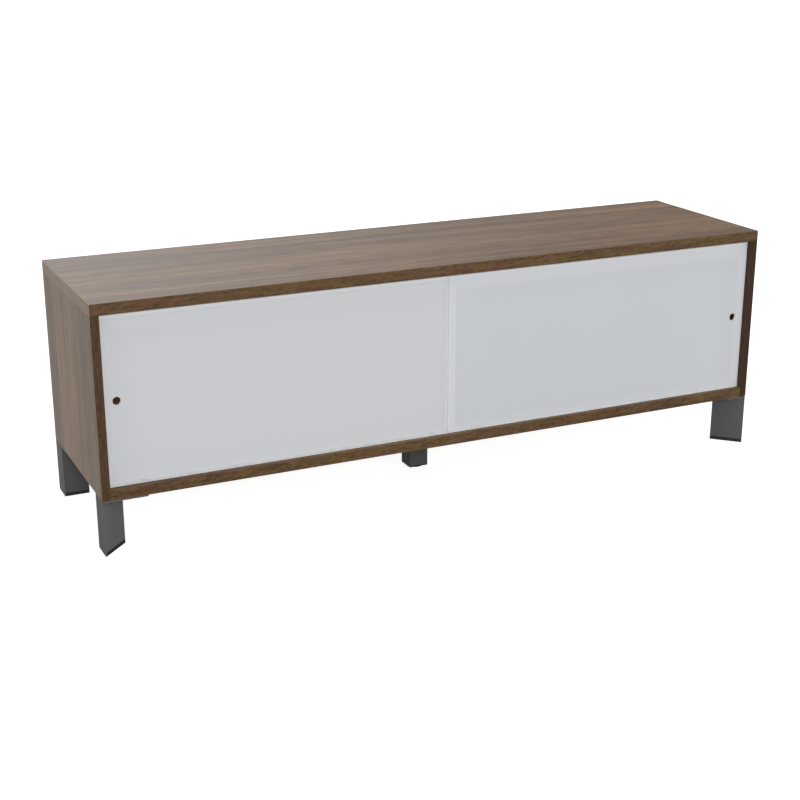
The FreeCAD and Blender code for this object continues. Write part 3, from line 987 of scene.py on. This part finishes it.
@dataclass
class Legs:
    """The corner legs and the centre leg with its leveller."""

    steel: PowderCoat = PowderCoat()
    # Painted shade: the centre leg's steel is darker, as it stands in shade under the cabinet.
    shaded_centre_steel: PowderCoat = PowderCoat("centre_leg_steel_painted_shade", (0.090, 0.089, 0.090),
                                          (0.080, 0.080, 0.082))
    foot: Plastic = Plastic("foot_plastic", (0.004, 0.004, 0.005), 0.75, 0.00005)
    zinc: ZincSteel = field(default_factory=ZincSteel)
    screw: WoodScrew = field(default_factory=WoodScrew)
    stem_pitch: float = 1.25 * MILLIMETRE
    stem_turns: int = 40
    stem_steps: int = 8

    def dress(self) -> None:
        """Gives the legs their finishes, and makes their screws and the threaded stem."""
        steel = self.steel.material()
        shaded_centre_steel = self.shaded_centre_steel.material()
        foot = self.foot.material()
        zinc = self.zinc.material()
        for corner in ("front_left", "front_right", "back_left", "back_right"):
            dress("leg_tube_" + corner, steel)
            dress("leg_plate_" + corner, steel)
            dress("leg_foot_" + corner, foot)
        for node in ("centre_leg_plate", "centre_leg_tube"):
            dress(node, shaded_centre_steel)
        for node in ("centre_leg_cap", "leveller_pad"):
            dress(node, foot)
        for node, name in (("corner_plate_screws", "corner_screws"),
                           ("centre_plate_screws", "centre_screws")):
            screws = []
            for low, high in middles(node):
                middle = (low + high) / 2
                screws.append(self.screw.shape().placed((middle[0], middle[1], low[2])))
            piece(name, screws, zinc, "cabinet", (node,))
        self.make_stem(zinc)

    def make_stem(self, zinc: bpy.types.Material) -> None:
        """Makes the leveller's threaded stem.

        Args:
            zinc: Its finish.
        """
        low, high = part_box("leveller_stem")
        radius = (high.x - low.x) / 2
        bevel = 0.5 * MILLIMETRE
        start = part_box("leveller_pad")[1].z + 0.3 * MILLIMETRE
        thread = thread_rows(radius * 0.86, radius * 0.14, self.stem_pitch, start,
                             high.z - bevel, self.stem_turns, self.stem_steps)
        root = [Ring(0.0, low.z), Ring(radius, low.z), Ring(radius, start - 0.2 * MILLIMETRE)]
        end = [Ring(radius * 0.80, high.z), Ring(0.0, high.z)]
        rows = [rows_of(root, self.stem_turns), thread, rows_of(end, self.stem_turns)]
        shape = Shape.turned(np.concatenate(rows))
        piece("threaded_stem", [shape], zinc, "leveller", ("leveller_stem",))


# ---------------------------------------------------------------------------------------
# Studio
# ---------------------------------------------------------------------------------------

@dataclass(frozen=True)
class SoftLamp:
    """A distant lamp with a soft edge, which leaves no highlight.

    Attributes:
        name: Its name.
        strength: Its strength on a surface that faces it.
        azimuth: Where it stands, in degrees from the front towards +X.
        elevation: How high it stands, in degrees.
        spread: Its width in degrees.
    """

    name: str
    strength: float
    azimuth: float
    elevation: float
    spread: float

    def light(self) -> None:
        """Adds the lamp to the scene."""
        data = bpy.data.lights.new(self.name, "SUN")
        data.energy = self.strength
        data.angle = math.radians(self.spread)
        lamp = bpy.data.objects.new(self.name, data)
        turn, rise = math.radians(self.azimuth), math.radians(self.elevation)
        towards = Vector((math.sin(turn) * math.cos(rise), -math.cos(turn) * math.cos(rise),
                          math.sin(rise)))
        lamp.rotation_euler = towards.to_track_quat("Z", "Y").to_euler()
        lamp.visible_glossy = False
        bpy.context.scene.collection.objects.link(lamp)


@dataclass
class Studio:
    """A white room: floor, soft lamps, walls that are brighter on the left, and the camera."""

    camera_place: Point = (-1.49913, -3.10845, 1.32978)
    camera_azimuth: float = -25.147
    camera_elevation: float = 18.588
    lens: float = 66.57
    sensor: float = 36.0
    floor_size: float = 60.0
    floor_tone: float = 0.45
    floor_glow: float = 0.85
    floor_sheen: float = 0.46
    room_light: float = 0.71
    bright_wall: float = 2.58
    dim_wall: float = 0.40
    bright_from: float = 0.05
    dim_from: float = 0.62
    lamps: tuple[SoftLamp, ...] = (
        SoftLamp("key", 0.64, -12.0, 21.0, 16.0),
        SoftLamp("front_fill", 0.70, 24.0, 21.0, 14.0),
        SoftLamp("right_fill", 0.43, 64.0, 16.0, 40.0),
        SoftLamp("side", 0.27, -86.0, 3.0, 8.0),
        SoftLamp("behind", 0.70, 160.0, 12.0, 40.0),
        SoftLamp("overhead", 0.56, 0.0, 85.0, 50.0),
    )

    def build(self) -> None:
        """Sets the scene up round the cabinet."""
        bpy.context.scene.view_settings.view_transform = "Standard"
        self.make_floor()
        self.make_world()
        for lamp in self.lamps:
            lamp.light()
        self.make_camera()

    @staticmethod
    def seen_straight(graph: Graph) -> Value:
        """One for what is seen straight or through clear material, and zero for the rest."""
        path = graph.node("ShaderNodeLightPath").outputs
        return Value(graph, path["Is Camera Ray"]).larger(Value(graph, path["Is Transmission Ray"]))

    def make_floor(self) -> None:
        """Makes the pale floor, which keeps the cabinet's shadow."""
        half = self.floor_size / 2
        below = -0.2 * MILLIMETRE
        mesh = bpy.data.meshes.new("floor")
        corners = [(-half, -half, below), (half, -half, below), (half, half, below),
                   (-half, half, below)]
        mesh.from_pydata(corners, [], [(0, 1, 2, 3)])
        floor = bpy.data.objects.new("floor", mesh)
        bpy.context.scene.collection.objects.link(floor)
        material = bpy.data.materials.new("floor")
        graph = Graph(material)
        matt = graph.node("ShaderNodeBsdfDiffuse", None,
                          {"Color": opaque((self.floor_tone,) * 3)})
        path = graph.node("ShaderNodeLightPath").outputs
        behind = graph.position()[1].within(-0.4, 0.2)
        level = (self.seen_straight(graph) * self.floor_glow
                 + Value(graph, path["Is Glossy Ray"]) * behind * self.floor_sheen)
        glow = graph.node("ShaderNodeEmission", None,
                          {"Color": opaque((1.0, 1.0, 1.0)), "Strength": level})
        both = graph.node("ShaderNodeAddShader", None, {0: matt.outputs[0], 1: glow.outputs[0]})
        graph.node("ShaderNodeOutputMaterial", None, {"Surface": both.outputs[0]})
        mesh.materials.append(material)

    def make_world(self) -> None:
        """Makes the room: its even light, the walls that gloss mirrors, and plain white."""
        world = bpy.data.worlds.new("room")
        world.cycles.sampling_method = "NONE"
        bpy.context.scene.world = world
        graph = Graph(world)
        side = graph.parts(graph.node("ShaderNodeTexCoord").outputs["Generated"])[0]
        wall = (side.within(self.dim_from, self.bright_from) * (self.bright_wall - self.dim_wall)
                + self.dim_wall)
        path = graph.node("ShaderNodeLightPath").outputs
        mirrored = Value(graph, path["Is Glossy Ray"])
        straight = self.seen_straight(graph)
        level = mirrored * (wall - self.room_light) + self.room_light
        level = straight + (1 - straight) * level
        room = graph.node("ShaderNodeBackground", None,
                          {"Color": opaque((1.0, 1.0, 1.0)), "Strength": level})
        graph.node("ShaderNodeOutputWorld", None, {"Surface": room.outputs[0]})

    def make_camera(self) -> None:
        """Places the camera."""
        data = bpy.data.cameras.new("camera")
        data.lens = self.lens
        data.sensor_width = self.sensor
        camera = bpy.data.objects.new("camera", data)
        camera.location = self.camera_place
        turn, rise = math.radians(self.camera_azimuth), math.radians(self.camera_elevation)
        forward = Vector((-math.sin(turn) * math.cos(rise), math.cos(turn) * math.cos(rise),
                          -math.sin(rise)))
        camera.rotation_euler = forward.to_track_quat("-Z", "Y").to_euler()
        bpy.context.scene.collection.objects.link(camera)
        bpy.context.scene.camera = camera


def main() -> None:
    """Builds the studio and dresses the cabinet."""
    logging.basicConfig(level=logging.INFO)
    Studio().build()
    Carcass().dress()
    Doors().dress()
    Legs().dress()


if __name__ == "__main__":
    main()
